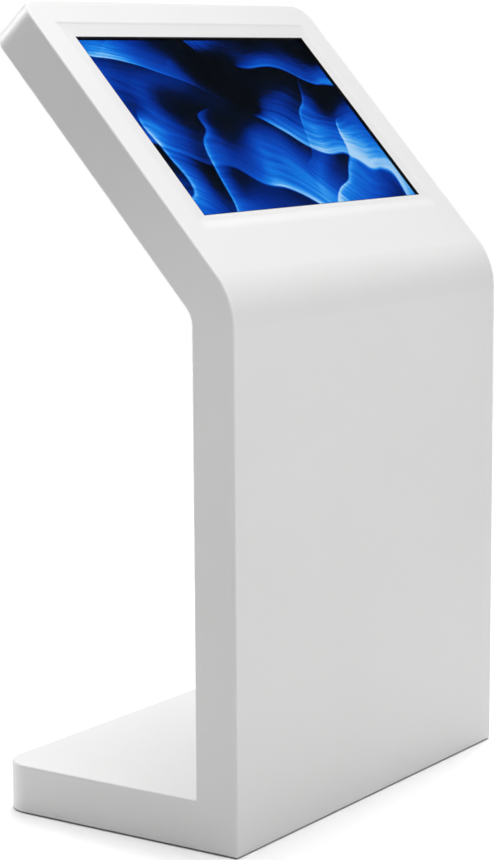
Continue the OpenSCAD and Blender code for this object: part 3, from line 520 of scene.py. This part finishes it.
def bay_screws():
    plate_x, plate_z = PLATE_HALF.x - PLATE_SCREW_IN_X, PLATE_HALF.z - PLATE_SCREW_IN_Z
    bracket_x = PC_HALF.x + FIXING_REACH / 2
    tab_z = SUPPLY_HALF.z + FIXING_REACH / 2
    fixing_y = PLATE_Y + FIXING_T
    bm = bmesh.new()
    for sx, sz in CORNERS:
        screw(bm, (PLATE.x + sx * plate_x, PLATE_Y, PLATE.z + sz * plate_z), PLATE_SCREW_R)
        screw(bm, (PC.x + sx * bracket_x, fixing_y, PC.z + sz * BRACKET_Z), FIXING_SCREW_R)
        screw(bm, (SUPPLY.x + sx * TAB_X, fixing_y, SUPPLY.z + sz * tab_z), FIXING_SCREW_R)
    finish_piece("bay_screws", bm, "plated_screw")


def computer_brackets():
    """Four angles of sheet, each with one leg on the plate and one on the computer's side."""
    bm = bmesh.new()
    for sx, sz in CORNERS:
        x, z = PC.x + sx * PC_HALF.x, PC.z + sz * BRACKET_Z
        corner = (x, PLATE_Y, z - BRACKET_HALF)
        block(bm, corner, (x + sx * FIXING_REACH, PLATE_Y + FIXING_T, z + BRACKET_HALF))
        block(bm, corner, (x + sx * FIXING_T, PLATE_Y + BRACKET_H, z + BRACKET_HALF))
    finish_piece("computer_brackets", bm, "dark_aluminium")


def supply_tabs():
    bm = bmesh.new()
    for sx, sz in CORNERS:
        x, z = SUPPLY.x + sx * TAB_X, SUPPLY.z + sz * SUPPLY_HALF.z
        corner = (x - TAB_HALF, PLATE_Y, z)
        block(bm, corner, (x + TAB_HALF, PLATE_Y + FIXING_T, z + sz * FIXING_REACH))
    finish_piece("supply_tabs", bm, "aluminium_case")


# Ribbed sleeves and plugs on the cables, as rows of (height, radius)
RELIEF = [
    (0, 7.5), (4, 7.5), (4.6, 6.6), (6, 6.6), (6.6, 7), (9, 6.9), (9.6, 6.0), (11, 6.0),
    (11.6, 6.5), (14, 6.3), (14.6, 5.5), (16, 5.5), (16.6, 5.9), (20, 5.4),
]
SMALL_RELIEF = [(h * 0.8, r * 0.85) for h, r in RELIEF[:10]]
DC_PLUG = [
    (0, 5), (1, 5.6), (14, 5.6), (15, 5.2), (15.2, 4.2), (17, 4.2),
    (17.2, 4.6), (19, 4.5), (19.2, 3.9), (21, 3.9), (21.2, 4.2), (24, 3.8),
]
VIDEO_SLEEVE = [
    (0, 5), (3, 4.8), (3.4, 4), (5, 4), (5.4, 4.4),
    (8, 4.2), (8.4, 3.6), (10, 3.6), (10.4, 3.9), (14, 3.3),
]
VIDEO_PLUG_HALF, VIDEO_PLUG_H, VIDEO_PLUG_R = (10, 5.5), 22, 2
GRIP_HALF, GRIP_H, GRIP_FIRST, GRIP_PITCH, GRIPS = (10.5, 3.5), 2, 6, 4, 3
SLEEVE_SUNK = 1


def supply_strain_reliefs():
    bm = bmesh.new()
    turned(bm, (SUPPLY.x, MAINS_Y, SUPPLY.z - SUPPLY_HALF.z), -AZ, RELIEF)
    turned(bm, (SUPPLY.x, DC_Y, SUPPLY.z + SUPPLY_HALF.z), AZ, SMALL_RELIEF)
    finish_piece("supply_strain_reliefs", bm, "black_plastic")


def round_video(bm, half, z0, z1, soft=EDGE_R):
    """Block round the axis of the display cable, from height z0 to z1."""
    x, y = half
    block(bm, (VIDEO_X - x, VIDEO_Y - y, z0), (VIDEO_X + x, VIDEO_Y + y, z1), soft)


def cable_plugs():
    bm = bmesh.new()
    turned(bm, (PC.x - PC_HALF.x, DC_Y, DC_Z), -AX, DC_PLUG)
    foot = PC.z + PC_HALF.z
    top = foot + VIDEO_PLUG_H
    round_video(bm, VIDEO_PLUG_HALF, foot, top, VIDEO_PLUG_R)
    for k in range(GRIPS):
        z = foot + GRIP_FIRST + GRIP_PITCH * k
        round_video(bm, GRIP_HALF, z, z + GRIP_H)
    turned(bm, (VIDEO_X, VIDEO_Y, top - SLEEVE_SUNK), AZ, VIDEO_SLEEVE)
    finish_piece("cable_plugs", bm, "black_plastic")


# Clips that hold the display cable off the plate: a foot with a hoop, and a tail that closes it
CLIPS_Z, CLIP_HALF = (560, 640), 5
CLIP_T, HOOP_R, HOOP_DEGREES = 1.2, 3.2, range(-60, 241, 15)
CLIP_SCREW_X, CLIP_SCREW_R = 10, 3


def cable_clips():
    turns = [math.radians(a) for a in HOOP_DEGREES]
    hoop = [(VIDEO_X + HOOP_R * math.cos(t), VIDEO_Y + HOOP_R * math.sin(t)) for t in turns]
    foot = [
        (VIDEO_X + 15, PLATE_Y + CLIP_T / 2),
        (VIDEO_X + 3.6, PLATE_Y + CLIP_T / 2),
        (VIDEO_X + 2.2, PLATE_Y + 2),
        (VIDEO_X + 2.0, VIDEO_Y - 4.2),
    ]
    tail = [
        (VIDEO_X - 2.0, VIDEO_Y - 2.8),
        (VIDEO_X - 1.6, VIDEO_Y - 4.6),
        (VIDEO_X + 0.8, PLATE_Y + 5),
        (VIDEO_X + 0.8, PLATE_Y + 2),
    ]
    bm = bmesh.new()
    for z in CLIPS_Z:
        for path in (foot + hoop, tail):
            strap(bm, path, CLIP_T, z - CLIP_HALF, z + CLIP_HALF)
    finish_piece("cable_clips", bm, "black_plastic")


def clip_screws():
    bm = bmesh.new()
    for z in CLIPS_Z:
        screw(bm, (VIDEO_X + CLIP_SCREW_X, PLATE_Y + CLIP_T, z), CLIP_SCREW_R)
    finish_piece("clip_screws", bm, "plated_screw")


bezel_filler()
bay_screws()
computer_brackets()
supply_tabs()
supply_strain_reliefs()
cable_plugs()
cable_clips()
clip_screws()

# Plain pale floor, a hair below the feet
FLOOR_X, FLOOR_Y, FLOOR_Z = (-3.4, 12.0), (-20.0, 3.6), -0.0003
floor_mesh = bpy.data.meshes.new("floor")
floor_bm = bmesh.new()
bmesh.ops.create_grid(floor_bm, x_segments=4, y_segments=4, size=0.5)
for v in floor_bm.verts:
    v.co.x = FLOOR_X[0] + (FLOOR_X[1] - FLOOR_X[0]) * (v.co.x + 0.5)
    v.co.y = FLOOR_Y[0] + (FLOOR_Y[1] - FLOOR_Y[0]) * (v.co.y + 0.5)
floor_bm.to_mesh(floor_mesh)
floor_bm.free()
floor_mesh.materials.append(floor_material())
floor = bpy.data.objects.new("floor", floor_mesh)
floor.location.z = FLOOR_Z
scene.collection.objects.link(floor)

# Soft studio light. Wide suns, by where they shine from; none lies where the glass mirrors the camera
SUNS = [
    ("top", (0, 0, 1), 1.68),
    ("right_top", (0.55, 0.15, 0.82), 1.6),
    ("right_rear", (0.75, 0.45, 0.5), 0.5),
    ("left_rear", (-0.7, 0.6, 0.35), 0.114),
]
SUN_ANGLE, SUN_AWAY = math.radians(40), 4
# Soft boxes: place, aim, width, height, watts
BOXES = [
    ("front_box", (0, -2, 2.2), (0, -0.1, 1.0), 1.8, 1.0, 17.8),
    ("over_box", (0, -1.2, 2.8), (0, 0, 1.2), 1.6, 0.8, 11.3),
    ("side_box", (-1.0, -0.3, 0.9), (-0.43, -0.2, 0.8), 0.3, 0.3, 0.63),
    ("end_box", (-0.5, 1.2, 1.9), (-0.4, 0.2, 1.4), 0.5, 0.5, 5.2),
    ("end_top", (-0.5, 0.9, 2.4), (-0.4, 0.2, 1.4), 0.5, 0.5, 1.6),
    ("end_side", (-0.8, 0.9, 1.9), (-0.4, 0.2, 1.35), 0.4, 0.4, 3.6),
    ("base_box", (-0.6, 1.8, 0.4), (-0.42, 0.25, 0.05), 0.4, 0.3, 5.4),
]


def lamp(name, kind, at, towards, **settings):
    data = bpy.data.lights.new(name, kind)
    for key, value in settings.items():
        setattr(data, key, value)
    o = bpy.data.objects.new(name, data)
    o.rotation_mode = "QUATERNION"
    o.rotation_quaternion = (Vector(at) - Vector(towards)).to_track_quat("Z", "Y")
    o.location = at
    o.visible_camera = False
    scene.collection.objects.link(o)


for name, at, power in SUNS:
    lamp(name, "SUN", Vector(at) * SUN_AWAY, (0, 0, 0), energy=power, angle=SUN_ANGLE)
for name, at, towards, wide, high, power in BOXES:
    lamp(name, "AREA", at, towards, shape="RECTANGLE", size=wide, size_y=high, energy=power)

# White behind everything for the camera, and almost no light from there
SKY_LIGHT, SKY_SEEN = 0.01, 1.0
world = bpy.data.worlds.new("world")
scene.world = world
world.use_nodes = True
wnt = world.node_tree
wnt.nodes.clear()
seen = add(wnt, "ShaderNodeLightPath").outputs["Is Camera Ray"]
soft, plain = [
    add(wnt, "ShaderNodeBackground", ins=((1, 1, 1, 1), strength)).outputs[0]
    for strength in (SKY_LIGHT, SKY_SEEN)
]
both = add(wnt, "ShaderNodeMixShader", ins=(seen, soft, plain)).outputs[0]
add(wnt, "ShaderNodeOutputWorld", ins=(both,))
scene.view_settings.view_transform = "Standard"
